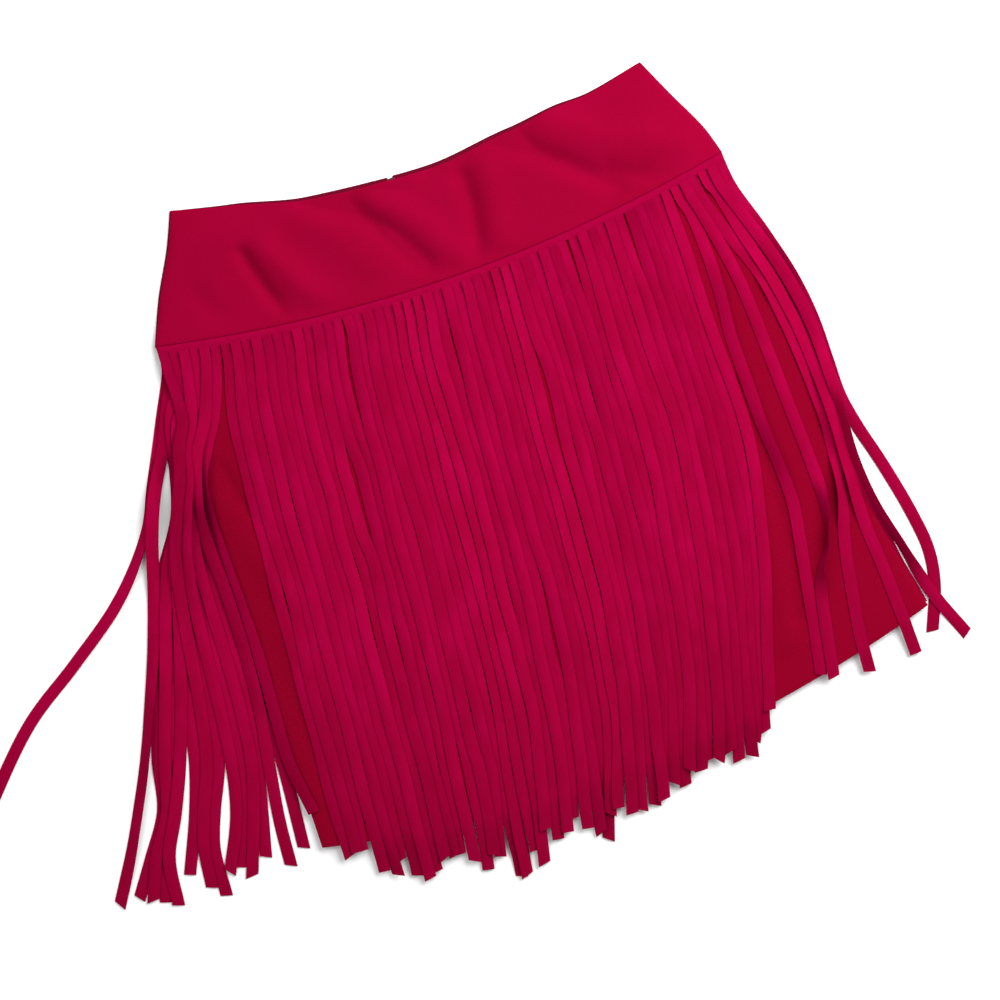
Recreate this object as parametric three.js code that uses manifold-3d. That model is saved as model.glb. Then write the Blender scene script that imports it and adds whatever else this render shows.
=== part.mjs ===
// A fringe skirt laid flat: hip yoke, plain lower skirt and cut fringe all round, zip at the centre back.
// Millimetres. +X runs across the skirt, +Y towards the waist, +Z up from the surface it lies on.
import * as THREE from 'three';
import { mergeVertices } from 'three/addons/utils/BufferGeometryUtils.js';
import Module from 'manifold-3d';

const wasm = await Module();
wasm.setup();

// Cloth and the air between layers
const CLOTH = 1.0;
const GAP = 0.3;
const SEAM_HALF_GAP = 0.15;

// Fringe
const STRIP_DEPTH = 8;
const SLIT = 0.6;
const STRAND_WIDTH = 8.4;
const FIRST_LIFT = 12;
const FULL_WIDTH_AT = 28;
const TIP_UNEVENNESS = 5;

// Where the skirt's cloth rises from the strip onto the strands, in drops below the hip seam
const RAMP_FROM = 4;
const RAMP_TO = 20;
const SKIRT_LENGTH = 369;

// How the front lies on the back
const SIDE_ROLL = 42;
const YOKE_PUFF = 2.6;
const SKIRT_PUFF = 1.7;
const YOKE_OVER_SEAM = 1.4;
const WAIST_EASE = 0.35;
const SEAM_EASE = 0.3;
const WAIST_SHOWING = 3;

// Centre-back zip
const ZIP_AT = 0.4426;
const STRIP_PART = 0.001;
const NOTCH_HALF_WIDTH = 2.2;
const NOTCH_DEPTH_LEVEL = 0.33;
const TAPE_WIDTH = 20;
const TAPE_FROM_LEVEL = 0.46;
const TAPE_TO_LEVEL = 3.28;
const ZIP_CLEAR_WIDTH = 12;
const ZIP_CLEAR_FALL = 12;
const SLIDER_CLEAR_RADIUS = 14;
const SLIDER_CLEAR_FALL = 18;
const TAPE_THICK = 0.8;
const COIL_WIDTH = 3;
const COIL_THICK = 1.3;
const SLIDER_LENGTH = 9;
const SLIDER_WIDTH = 6.5;
const SLIDER_THICK = 2.0;
const SLIDER_DOWN = 1.5;
const PULL_LENGTH = 17;
const PULL_WIDTH = 3.4;
const PULL_THICK = 0.9;
const PULL_SUNK = 0.4;

// Grid used to lay one strand over another
const CELL = 1;
const GRID_LEFT = -480;
const GRID_BOTTOM = -300;
const GRID_COLUMNS = 800;
const GRID_ROWS = 600;
const LAYING_MARGIN = 0.8;

// Cross lines of the panels from the waist down, and how far the middle of each hangs below its ends
const SECTIONS = [
  { name: 'waist', left: [-159, 262.6], right: [195.7, 250.7], bow: 22 },
  { name: 'high hip', left: [-170.5, 236.8], right: [208.6, 222.5], bow: 22 },
  { name: 'low hip', left: [-187.7, 205.5], right: [223.5, 191.2], bow: 22 },
  { name: 'seam', left: [-202, 173], right: [229.5, 169.3], bow: 22 },
  { name: 'hem', left: [-209, -207], right: [260.4, -187.7], bow: 30 },
];
const SEAM_LEVEL = 3;
const HEM_LEVEL = 4;

// How far the waist edge strays from its even bow, from the left side to the right
const WAIST_STRAY = [
  { across: 0, stray: 0 },
  { across: 0.12, stray: -0.6 },
  { across: 0.27, stray: -5 },
  { across: 0.52, stray: -5.6 },
  { across: 0.7, stray: -0.5 },
  { across: 0.8, stray: 1 },
  { across: 0.88, stray: -1.5 },
  { across: 1, stray: 0 },
];

// Soft folds of the front yoke: where each starts and ends, its half width, and its height or depth
const FOLDS = [
  { name: 'left dent', from: [-140, 236], to: [-104, 166], halfWidth: 17, height: -2.0 },
  { name: 'left ridge', from: [-112, 222], to: [-70, 168], halfWidth: 16, height: 2.2 },
  { name: 'long trough', from: [-58, 236], to: [8, 172], halfWidth: 13, height: -2.0 },
  { name: 'centre ridge', from: [-8, 222], to: [22, 186], halfWidth: 14, height: 1.4 },
  { name: 'centre trough', from: [44, 214], to: [36, 162], halfWidth: 10, height: -1.8 },
  { name: 'centre right ridge', from: [62, 214], to: [56, 164], halfWidth: 12, height: 1.6 },
  { name: 'right trough', from: [94, 238], to: [142, 178], halfWidth: 13, height: -1.9 },
  { name: 'right ridge', from: [128, 226], to: [206, 186], halfWidth: 16, height: 1.8 },
];

// Locks of the fringe from left to right along the seam. Each holds strands that hang together: the
// first and last strand's way over the surface is given, and the others lie evenly between them. A lock
// with a lower turn is laid first, and neighbours in a lock share out its layers. Step is the distance
// between a strand's stations, and bow is how far the tips between the first and last hang below them.
const FRONT_LOCKS = [
  { name: 'left side', count: 5, layers: 2, turn: 3, step: 38, bow: 4,
    firstWay: [[-213, 100], [-248, -20], [-285, -120]], firstTip: [-306, -194],
    lastWay: [[-180, 95], [-205, 12], [-224, -110]], lastTip: [-235, -210] },
  { name: 'middle left', count: 30, layers: 2, turn: 1, step: 56, bow: 30,
    firstWay: [[-163, 95], [-176, -30], [-186, -102]], firstTip: [-198, -216],
    lastWay: [[54, 65], [41, -98], [35, -163]], lastTip: [25, -253] },
  { name: 'middle right', count: 17, layers: 2, turn: 1, step: 56, bow: 6,
    firstWay: [[61, 65], [48, -98], [42, -163]], firstTip: [32, -256],
    lastWay: [[184, 60], [169, -36], [151, -135]], lastTip: [127, -230] },
  { name: 'right inner', count: 4, layers: 2, turn: 2, step: 38, bow: 2,
    firstWay: [[186, 30], [192, -76], [181, -140]], firstTip: [178, -217],
    lastWay: [[228, 40], [238, -60], [243, -140]], lastTip: [240, -220] },
  { name: 'right crossing', count: 1, layers: 1, turn: 4, step: 38, bow: 0,
    firstWay: [[232, 60], [244, -46], [253, -132]], firstTip: [281, -219] },
  { name: 'right outer', count: 1, layers: 1, turn: 3, step: 38, bow: 0,
    firstWay: [[236, 118], [247, 58], [249, -35], [273, -139]], firstTip: [258, -207] },
];
const BACK_LEFT_LOCKS = [
  { name: 'free strand', count: 1, layers: 2, turn: 1, step: 38, bow: 0,
    firstWay: [[-214, 130], [-240, 80], [-264, 32], [-296, -2], [-380, -54]], firstTip: [-450, -126] },
  { name: 'outer strand', count: 1, layers: 2, turn: 1, step: 38, bow: 0,
    firstWay: [[-210, 124], [-240, 60], [-296, -82], [-340, -163]], firstTip: [-359, -197] },
  { name: 'left cluster', count: 4, layers: 2, turn: 1, step: 38, bow: 2,
    firstWay: [[-206, 106], [-252, -10], [-304, -140]], firstTip: [-349, -197],
    lastWay: [[-191, 80], [-240, -50], [-300, -154]], lastTip: [-321, -212] },
  { name: 'left near', count: 1, layers: 2, turn: 1, step: 38, bow: 0,
    firstWay: [[-184, 80], [-216, -60], [-250, -150]], firstTip: [-270, -203] },
  { name: 'back left', count: 19, layers: 2, turn: 1, step: 130, bow: 8,
    firstWay: [[-150, 20]], firstTip: [-160, -210], lastWay: [[-15, -40]], lastTip: [-12, -238] },
];
const BACK_RIGHT_LOCKS = [
  { name: 'back right', count: 32, layers: 2, turn: 1, step: 130, bow: 8,
    firstWay: [[0, -40]], firstTip: [4, -238], lastWay: [[229, -20]], lastTip: [240, -176] },
];

const COLOURS = { cloth: 0xb00040, fringe: 0xa8003c, tape: 0x9c0036, metal: 0x6e1030 };

function finish(colour, roughness, metalness) {
  return new THREE.MeshStandardMaterial({ color: colour, roughness, metalness });
}

function named(name, geometry, material) {
  const mesh = new THREE.Mesh(geometry, material);
  mesh.name = name;
  return mesh;
}

function mix(a, b, t) {
  return a + (b - a) * t;
}

function mixPoint(a, b, t) {
  return [mix(a[0], b[0], t), mix(a[1], b[1], t)];
}

function ease(t) {
  const clamped = Math.min(Math.max(t, 0), 1);
  return clamped * clamped * (3 - 2 * clamped);
}

// A closed solid gathered from points and flat faces
class Solid {
  constructor() {
    this.points = [];
    this.faces = [];
  }

  add(x, y, z) {
    this.points.push(x, y, z);
    return this.points.length / 3 - 1;
  }

  quad(a, b, c, d) {
    this.faces.push(a, b, c, a, c, d);
  }

  geometry() {
    const geometry = new THREE.BufferGeometry();
    geometry.setAttribute('position', new THREE.Float32BufferAttribute(this.points, 3));
    geometry.setIndex(this.faces);
    geometry.computeVertexNormals();
    return geometry;
  }
}

function waistStray(across) {
  const k = Math.max(WAIST_STRAY.findIndex((place) => place.across >= across), 1);
  const from = WAIST_STRAY[k - 1];
  const to = WAIST_STRAY[k];
  return mix(from.stray, to.stray, ease((across - from.across) / (to.across - from.across)));
}

// A point of the laid panels: level counts the sections down from the waist, across runs 0 to 1
function panelPoint(level, across, bowChange = 0) {
  const row = Math.min(Math.floor(level), SECTIONS.length - 2);
  const above = SECTIONS[row];
  const below = SECTIONS[row + 1];
  const t = level - row;
  const left = mixPoint(above.left, below.left, t);
  const right = mixPoint(above.right, below.right, t);
  const bow = mix(above.bow, below.bow, t) + bowChange;
  const [x, y] = mixPoint(left, right, across);
  const hang = waistStray(across) * ease(1 - level) - 4 * bow * across * (1 - across);
  const side = Math.min(across, 1 - across) * (right[0] - left[0]);
  return { x, y: y + hang, side, drop: (level - SEAM_LEVEL) * SKIRT_LENGTH };
}

// How much the front stands off the back: nothing at the side seams, all of it past the side roll
function sideRise(side) {
  return Math.sin(Math.min(side / SIDE_ROLL, 1) * Math.PI / 2);
}

function foldHeight(x, y) {
  let height = 0;
  for (const fold of FOLDS) {
    const [ax, ay] = fold.from;
    const run = [fold.to[0] - ax, fold.to[1] - ay];
    const length = Math.hypot(...run);
    const along = ((x - ax) * run[0] + (y - ay) * run[1]) / length;
    const off = ((x - ax) * run[1] - (y - ay) * run[0]) / length;
    const past = Math.max(-along, along - length, 0);
    const distance = Math.hypot(off, past) / fold.halfWidth;
    height += fold.height * Math.exp(-distance * distance);
  }
  return height;
}

// Undersides of the layers, from the surface up. The skirt lies on the strip at the hip seam, and on two
// layers of strands from a little way below it.
const BACK_YOKE_UNDER = 0;
const BACK_STRIP_UNDER = 0;
const BACK_YOKE_TOP = BACK_YOKE_UNDER + CLOTH;
const SKIRT_ON_STRIP = BACK_STRIP_UNDER + CLOTH + GAP;
const SKIRT_ON_STRANDS = 2 * CLOTH + 3 * GAP;

function backSkirtUnder(drop) {
  const t = (drop - RAMP_FROM) / (RAMP_TO - RAMP_FROM);
  return mix(SKIRT_ON_STRIP, SKIRT_ON_STRANDS, Math.min(Math.max(t, 0), 1));
}

function frontSkirtUnder(side, drop) {
  return backSkirtUnder(drop) + CLOTH + GAP + SKIRT_PUFF * sideRise(side);
}

// The room that the zip inside needs under the front
function zipClearance(point, level) {
  const zip = panelPoint(level, ZIP_AT);
  const slider = panelPoint(0, ZIP_AT);
  const fromTape = Math.abs(point.x - zip.x) - ZIP_CLEAR_WIDTH;
  const fromSlider = Math.hypot(point.x - slider.x, point.y - slider.y + SLIDER_LENGTH) - SLIDER_CLEAR_RADIUS;
  const overTape = (COIL_THICK + GAP) * ease(1 - fromTape / ZIP_CLEAR_FALL);
  const overSlider = (SLIDER_THICK + PULL_THICK - PULL_SUNK + GAP) * ease(1 - fromSlider / SLIDER_CLEAR_FALL);
  return Math.max(overTape, overSlider);
}

function frontYokeUnder(point, level) {
  const down = level / SEAM_LEVEL;
  const lying = BACK_YOKE_TOP + GAP;
  const puff = YOKE_PUFF * ease(down / WAIST_EASE);
  const clear = zipClearance(point, level);
  const free = lying + Math.max(sideRise(point.side) * (puff + foldHeight(point.x, point.y)), clear);
  const atSeam = frontSkirtUnder(point.side, 0) + YOKE_OVER_SEAM;
  return mix(free, atSeam, ease((down - 1 + SEAM_EASE) / SEAM_EASE));
}

// A panel of cloth: rows from the top edge down, columns from left to right
function panel(levels, acrosses, pointOf, underOf) {
  const solid = new Solid();
  const top = [];
  const bottom = [];
  levels.forEach((level, j) => {
    top.push([]);
    bottom.push([]);
    acrosses.forEach((across) => {
      const point = pointOf(level, across);
      const under = underOf(point, level);
      top[j].push(solid.add(point.x, point.y, under + CLOTH));
      bottom[j].push(solid.add(point.x, point.y, under));
    });
  });
  const lastRow = levels.length - 1;
  const lastColumn = acrosses.length - 1;
  for (let j = 0; j < lastRow; j += 1) {
    for (let i = 0; i < lastColumn; i += 1) {
      solid.quad(top[j][i], top[j + 1][i], top[j + 1][i + 1], top[j][i + 1]);
      solid.quad(bottom[j][i], bottom[j][i + 1], bottom[j + 1][i + 1], bottom[j + 1][i]);
    }
    solid.quad(top[j][0], bottom[j][0], bottom[j + 1][0], top[j + 1][0]);
    solid.quad(top[j][lastColumn], top[j + 1][lastColumn], bottom[j + 1][lastColumn], bottom[j][lastColumn]);
  }
  for (let i = 0; i < lastColumn; i += 1) {
    solid.quad(top[0][i], top[0][i + 1], bottom[0][i + 1], bottom[0][i]);
    solid.quad(top[lastRow][i], bottom[lastRow][i], bottom[lastRow][i + 1], top[lastRow][i + 1]);
  }
  return solid.geometry();
}

function evenly(from, to, count) {
  return Array.from({ length: count + 1 }, (_, i) => mix(from, to, i / count));
}

// The tops of all that is laid so far, cell by cell
const laid = new Float32Array(GRID_COLUMNS * GRID_ROWS);

function cellAt(x, y) {
  const column = Math.round((x - GRID_LEFT) / CELL);
  const row = Math.round((y - GRID_BOTTOM) / CELL);
  return row * GRID_COLUMNS + column;
}

// Visits points spread closely over one stretch of a strand, given its ends and half width
function overStretch(from, to, half, visit) {
  const length = Math.hypot(to.x - from.x, to.y - from.y);
  const alongSteps = Math.max(Math.ceil(length / (CELL / 2)), 1);
  const acrossSteps = Math.ceil(2 * half / (CELL / 2));
  for (let a = 0; a <= alongSteps; a += 1) {
    const t = a / alongSteps;
    for (let b = 0; b <= acrossSteps; b += 1) {
      const off = mix(-half, half, b / acrossSteps);
      const x = mix(from.x, to.x, t) + off * mix(from.rightX, to.rightX, t);
      const y = mix(from.y, to.y, t) + off * mix(from.rightY, to.rightY, t);
      visit(x, y, t);
    }
  }
}

function highestUnder(from, to, half) {
  let highest = 0;
  overStretch(from, to, half + LAYING_MARGIN, (x, y) => {
    highest = Math.max(highest, laid[cellAt(x, y)]);
  });
  return highest;
}

function coverWith(from, to, half) {
  overStretch(from, to, half, (x, y, t) => {
    const cell = cellAt(x, y);
    laid[cell] = Math.max(laid[cell], mix(from.under, to.under, t) + CLOTH);
  });
}

function coverWithPanel(levels, pointOf, topOf) {
  for (const level of levels) {
    for (const across of evenly(0, 1, GRID_COLUMNS)) {
      const point = pointOf(level, across);
      const cell = cellAt(point.x, point.y);
      laid[cell] = Math.max(laid[cell], topOf(point, level));
    }
  }
}

// One strand's stations from its root to its tip, laid on what lies there already
function layStrand({ root, way: wayPoints, step }) {
  const start = new THREE.Vector3(root.x, root.y, 0);
  const below = new THREE.Vector3(root.x, root.y - FIRST_LIFT, 0);
  const way = wayPoints.map(([x, y]) => new THREE.Vector3(x, y, 0));
  const curve = new THREE.CatmullRomCurve3([start, below, ...way]);
  const length = curve.getLength();
  const rest = Math.max(Math.round((length - FULL_WIDTH_AT) / step), 1);
  const distances = [0, FIRST_LIFT, ...evenly(FULL_WIDTH_AT, length, rest)];
  const stations = distances.map((distance, i) => {
    const at = curve.getPointAt(distance / length);
    const run = curve.getTangentAt(distance / length);
    const half = i < 2 ? root.half : STRAND_WIDTH / 2;
    return { x: at.x, y: at.y, rightX: -run.y, rightY: run.x, half, under: root.under };
  });
  for (let i = 1; i < stations.length; i += 1) {
    const before = stations[i - 1];
    const here = stations[i];
    const after = stations[Math.min(i + 1, stations.length - 1)];
    const half = Math.max(here.half, after.half);
    const highest = Math.max(highestUnder(before, here, half), highestUnder(here, after, half));
    here.under = highest + GAP;
  }
  for (let i = 1; i < stations.length; i += 1) {
    coverWith(stations[i - 1], stations[i], stations[i].half);
  }
  return stations;
}

// Every strand of a row of locks: its way to the tip, and the layer in which it is laid
function strandsOf(locks, firstNumber) {
  const strands = [];
  for (const lock of locks) {
    for (let i = 0; i < lock.count; i += 1) {
      const t = lock.count > 1 ? i / (lock.count - 1) : 0;
      const lastWay = lock.lastWay ?? lock.firstWay;
      const way = lock.firstWay.map((point, k) => mixPoint(point, lastWay[k], t));
      const [tipX, tipY] = mixPoint(lock.firstTip, lock.lastTip ?? lock.firstTip, t);
      const uneven = lock.count > 1 ? TIP_UNEVENNESS * Math.sin(2.4 * i) * Math.cos(0.7 * i) : 0;
      way.push([tipX, tipY - 4 * lock.bow * t * (1 - t) + uneven]);
      const layer = ((firstNumber + strands.length) % lock.layers) / lock.layers;
      strands.push({ way, step: lock.step, turn: lock.turn + layer });
    }
  }
  return strands;
}

// A fringe before it is laid: the columns of the strip along the seam, two at the root of each strand
function planFringe(locks, fromAcross, toAcross, underOf, firstNumber = 0) {
  const solid = new Solid();
  const strands = strandsOf(locks, firstNumber);
  const count = strands.length;
  const pitch = (panelPoint(SEAM_LEVEL, toAcross).x - panelPoint(SEAM_LEVEL, fromAcross).x) / count;
  const slitHalf = SLIT / 2 / pitch;
  const columns = [];
  strands.forEach((strand, k) => {
    const rims = [k + (k > 0 ? slitHalf : 0), k + 1 - (k < count - 1 ? slitHalf : 0)];
    for (const rim of rims) {
      const seam = panelPoint(SEAM_LEVEL, mix(fromAcross, toAcross, rim / count));
      const upper = seam.y - SEAM_HALF_GAP;
      const upperUnder = underOf(seam.side, 0);
      const lower = seam.y - STRIP_DEPTH;
      const under = underOf(seam.side, STRIP_DEPTH);
      const ring = [[upper, upperUnder + CLOTH], [lower, under + CLOTH], [lower, under], [upper, upperUnder]];
      columns.push({ x: seam.x, lower, under, ring: ring.map(([y, z]) => solid.add(seam.x, y, z)) });
    }
    const [left, right] = columns.slice(-2);
    strand.root = {
      x: (left.x + right.x) / 2,
      y: (left.lower + right.lower) / 2,
      under: (left.under + right.under) / 2,
      half: (pitch - SLIT) / 2,
    };
  });
  return { solid, strands, columns };
}

// The strands that lie beneath are laid first, whichever fringe they belong to
function layTogether(fringes) {
  const strands = fringes.flatMap((fringe) => fringe.strands);
  const order = strands.map((_, k) => k).sort((p, q) => strands[p].turn - strands[q].turn || p - q);
  for (const k of order) strands[k].stations = layStrand(strands[k]);
}

function fringeGeometry({ solid, strands, columns }) {
  for (let c = 0; c < columns.length - 1; c += 1) {
    const here = columns[c].ring;
    const next = columns[c + 1].ring;
    for (let m = 0; m < 4; m += 1) {
      const isStrandRoot = m === 1 && c % 2 === 0;
      const n = (m + 1) % 4;
      if (!isStrandRoot) solid.quad(here[m], here[n], next[n], next[m]);
    }
  }
  solid.quad(...[...columns[0].ring].reverse());
  solid.quad(...columns[columns.length - 1].ring);
  strands.forEach((strand, k) => {
    const left = columns[2 * k].ring;
    const right = columns[2 * k + 1].ring;
    let previous = [left[1], right[1], right[2], left[2]];
    for (const { x, y, rightX, rightY, half, under } of strand.stations.slice(1)) {
      const ends = [[-half, CLOTH], [half, CLOTH], [half, 0], [-half, 0]];
      const ring = ends.map(([off, rise]) => solid.add(x + off * rightX, y + off * rightY, under + rise));
      for (let m = 0; m < 4; m += 1) {
        const n = (m + 1) % 4;
        solid.quad(previous[m], ring[m], ring[n], previous[n]);
      }
      previous = ring;
    }
    solid.quad(...previous.reverse());
  });
  return solid.geometry();
}

// A section carried along a line of stations, closed at both ends
function loft(rings) {
  const solid = new Solid();
  const rows = rings.map((ring) => ring.map((point) => solid.add(...point)));
  const size = rings[0].length;
  for (let i = 0; i < rows.length - 1; i += 1) {
    for (let m = 0; m < size; m += 1) {
      const n = (m + 1) % size;
      solid.quad(rows[i][m], rows[i + 1][m], rows[i + 1][n], rows[i][n]);
    }
  }
  const outline = rings[0].map(([x, , z]) => new THREE.Vector2(x, z));
  for (const [p, q, r] of THREE.ShapeUtils.triangulateShape(outline, [])) {
    solid.faces.push(rows[0][r], rows[0][q], rows[0][p]);
    solid.faces.push(rows[rows.length - 1][p], rows[rows.length - 1][q], rows[rows.length - 1][r]);
  }
  return solid.geometry();
}

// The zip's tapes and coil lie on the inner face of the back, and step up with it at the hip seam
function zipTape() {
  const coil = COIL_WIDTH / 2;
  const edge = TAPE_WIDTH / 2;
  const section = [
    [-edge, TAPE_THICK], [-coil, TAPE_THICK], [-coil, COIL_THICK], [coil, COIL_THICK],
    [coil, TAPE_THICK], [edge, TAPE_THICK], [edge, 0], [-edge, 0],
  ];
  const yokeRest = BACK_YOKE_TOP + GAP;
  const atSeam = backSkirtUnder(0) + CLOTH + GAP;
  const skirtRest = backSkirtUnder(RAMP_TO) + CLOTH + GAP;
  const stations = [
    { level: TAPE_FROM_LEVEL, under: yokeRest },
    { level: SEAM_LEVEL - 0.2, under: yokeRest },
    { level: SEAM_LEVEL - 0.05, under: atSeam },
    { level: SEAM_LEVEL + RAMP_FROM / SKIRT_LENGTH, under: atSeam },
    { level: SEAM_LEVEL + RAMP_TO / SKIRT_LENGTH, under: skirtRest },
    { level: TAPE_TO_LEVEL, under: skirtRest },
  ];
  return loft(stations.map(({ level, under }) => {
    const { x, y } = panelPoint(level, ZIP_AT, -WAIST_SHOWING * ease(1 - level));
    return section.map(([off, rise]) => [x + off, y, under + rise]);
  }));
}

function asManifold(geometry) {
  const bare = geometry.clone();
  bare.deleteAttribute('normal');
  bare.deleteAttribute('uv');
  const merged = mergeVertices(bare);
  return new wasm.Manifold(new wasm.Mesh({
    numProp: 3,
    vertProperties: merged.attributes.position.array,
    triVerts: new Uint32Array(merged.index.array),
  }));
}

function fromManifold(manifold) {
  const mesh = manifold.getMesh();
  const geometry = new THREE.BufferGeometry();
  geometry.setAttribute('position', new THREE.BufferAttribute(mesh.vertProperties, 3));
  geometry.setIndex(new THREE.BufferAttribute(mesh.triVerts, 1));
  geometry.computeVertexNormals();
  return geometry;
}

// A flat plate with round ends, its top end at y = 0
function roundedPlate(width, length, thick) {
  const half = width / 2;
  const shape = new THREE.Shape();
  shape.absarc(0, -half, half, 0, Math.PI, false);
  shape.absarc(0, half - length, half, Math.PI, 2 * Math.PI, false);
  return new THREE.ExtrudeGeometry(shape, { depth: thick, bevelEnabled: false, curveSegments: 6 });
}

// The slider with its pull tab hanging down over it
function zipSlider() {
  const bodySolid = asManifold(roundedPlate(SLIDER_WIDTH, SLIDER_LENGTH, SLIDER_THICK));
  const pull = roundedPlate(PULL_WIDTH, PULL_LENGTH, PULL_THICK);
  pull.translate(0, -SLIDER_LENGTH / 3, SLIDER_THICK - PULL_SUNK);
  return fromManifold(bodySolid.add(asManifold(pull)));
}

const cloth = finish(COLOURS.cloth, 0.85, 0);
const fringeCloth = finish(COLOURS.fringe, 0.88, 0);
const tapeCloth = finish(COLOURS.tape, 0.8, 0);
const metal = finish(COLOURS.metal, 0.4, 0.6);

// Columns stand closer at the side seams, where the front rolls down
const SIDE_COLUMNS = [0, 0.012, 0.035, 0.065];
const SIDE_SHARE = 0.1;

function columnsWithSides(middleCount) {
  const middle = evenly(SIDE_SHARE, 1 - SIDE_SHARE, middleCount);
  return [...SIDE_COLUMNS, ...middle, ...SIDE_COLUMNS.map((t) => 1 - t).reverse()];
}

const frontColumns = columnsWithSides(24);
const skirtColumns = columnsWithSides(10);
const frontYokeLevels = evenly(0, SEAM_LEVEL, 10);
const backYokeLevels = evenly(0, SEAM_LEVEL, 9);
const rampLevels = [0, RAMP_FROM, RAMP_TO].map((drop) => SEAM_LEVEL + drop / SKIRT_LENGTH);
const skirtLevels = [...rampLevels, ...evenly(rampLevels[2], HEM_LEVEL, 4).slice(1)];

function raisedAtSeam(point, level) {
  return level === SEAM_LEVEL ? { ...point, y: point.y + SEAM_HALF_GAP } : point;
}

function loweredAtSeam(point, level) {
  return level === SEAM_LEVEL ? { ...point, y: point.y - SEAM_HALF_GAP } : point;
}

const frontYokePoint = (level, across) => raisedAtSeam(panelPoint(level, across), level);
const skirtPoint = (level, across) => loweredAtSeam(panelPoint(level, across), level);

// The back shows a little above the front at the waist, and its two halves part in a notch at the zip
function backYokePoint(level, across) {
  return raisedAtSeam(panelPoint(level, across, -WAIST_SHOWING * ease(1 - level)), level);
}

function backHalf({ isLeft, levels, columns, pointOf, underOf }) {
  const acrosses = isLeft ? evenly(0, ZIP_AT, columns) : evenly(ZIP_AT, 1, columns);
  const parted = (level, across) => {
    const point = pointOf(level, across);
    const opening = mix(SEAM_HALF_GAP, NOTCH_HALF_WIDTH, ease(1 - level / NOTCH_DEPTH_LEVEL));
    const shift = across === ZIP_AT ? opening : 0;
    return { ...point, x: point.x + (isLeft ? -shift : shift) };
  };
  return panel(levels, acrosses, parted, underOf);
}

const backYoke = { levels: backYokeLevels, pointOf: backYokePoint, underOf: () => BACK_YOKE_UNDER };
const underBackSkirt = (point) => backSkirtUnder(point.drop);
const backSkirt = { levels: skirtLevels, pointOf: skirtPoint, underOf: underBackSkirt };
const underBackStrip = () => BACK_STRIP_UNDER;

const skirt = new THREE.Group();

skirt.add(named('back_yoke_left', backHalf({ ...backYoke, isLeft: true, columns: 10 }), cloth));
skirt.add(named('back_yoke_right', backHalf({ ...backYoke, isLeft: false, columns: 12 }), cloth));

const backLeft = planFringe(BACK_LEFT_LOCKS, 0, ZIP_AT - STRIP_PART, underBackStrip);
const leftCount = backLeft.strands.length;
const backRight = planFringe(BACK_RIGHT_LOCKS, ZIP_AT + STRIP_PART, 1, underBackStrip, leftCount);
layTogether([backLeft, backRight]);
skirt.add(named('back_fringe_left', fringeGeometry(backLeft), fringeCloth));
skirt.add(named('back_fringe_right', fringeGeometry(backRight), fringeCloth));

skirt.add(named('back_skirt_left', backHalf({ ...backSkirt, isLeft: true, columns: 8 }), cloth));
skirt.add(named('back_skirt_right', backHalf({ ...backSkirt, isLeft: false, columns: 10 }), cloth));

skirt.add(named('zip_tape', zipTape(), tapeCloth));
const slider = named('zip_slider', zipSlider(), metal);
const sliderTop = panelPoint(0, ZIP_AT, -WAIST_SHOWING);
slider.position.set(sliderTop.x, sliderTop.y - SLIDER_DOWN, BACK_YOKE_TOP + GAP);
skirt.add(slider);

const underFrontSkirt = (point) => frontSkirtUnder(point.side, point.drop);
skirt.add(named('front_skirt', panel(skirtLevels, skirtColumns, skirtPoint, underFrontSkirt), cloth));
skirt.add(named('front_yoke', panel(frontYokeLevels, frontColumns, frontYokePoint, frontYokeUnder), cloth));

const frontSkirtTop = (side, drop) => frontSkirtUnder(side, drop) + CLOTH;
const overFrontSkirt = (point) => frontSkirtTop(point.side, point.drop);
coverWithPanel(evenly(SEAM_LEVEL, HEM_LEVEL, GRID_ROWS), panelPoint, overFrontSkirt);
const front = planFringe(FRONT_LOCKS, 0, 1, (side, drop) => frontSkirtTop(side, drop) + GAP);
layTogether([front]);
skirt.add(named('front_fringe', fringeGeometry(front), fringeCloth));

// The origin is under the middle of all that is laid out
const extent = new THREE.Box3().setFromObject(skirt);
const centre = extent.getCenter(new THREE.Vector3());
skirt.position.set(-centre.x, -centre.y, -extent.min.z);

const laidSkirt = new THREE.Group();
laidSkirt.add(skirt);

export default laidSkirt;
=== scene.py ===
# A fringe skirt laid flat on a pale floor: hip yoke, lower skirt, fringe all round and a zip behind.
# The tables are in the skirt's own millimetres: +X across, +Y towards the waist.
import math
import random

import bpy
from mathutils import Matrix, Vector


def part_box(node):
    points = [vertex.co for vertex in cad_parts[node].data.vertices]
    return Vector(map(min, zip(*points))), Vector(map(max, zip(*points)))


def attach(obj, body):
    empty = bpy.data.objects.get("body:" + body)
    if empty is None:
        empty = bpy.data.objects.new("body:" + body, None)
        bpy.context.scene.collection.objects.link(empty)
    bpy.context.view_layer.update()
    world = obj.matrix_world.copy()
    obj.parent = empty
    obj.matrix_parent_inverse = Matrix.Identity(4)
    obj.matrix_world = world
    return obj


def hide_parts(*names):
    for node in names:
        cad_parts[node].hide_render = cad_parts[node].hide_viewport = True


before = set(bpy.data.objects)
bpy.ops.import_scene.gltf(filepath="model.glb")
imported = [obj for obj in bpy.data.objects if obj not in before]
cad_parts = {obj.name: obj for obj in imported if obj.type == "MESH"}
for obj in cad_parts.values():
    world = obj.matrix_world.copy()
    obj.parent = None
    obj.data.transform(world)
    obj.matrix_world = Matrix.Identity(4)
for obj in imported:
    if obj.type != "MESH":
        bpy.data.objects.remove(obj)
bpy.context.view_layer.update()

MM = 0.001
YOKE_LOW, YOKE_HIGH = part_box("front_yoke")
ORIGIN_X = YOKE_LOW[0] / MM + 202.0
ORIGIN_Y = YOKE_HIGH[1] / MM - 262.6

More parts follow.
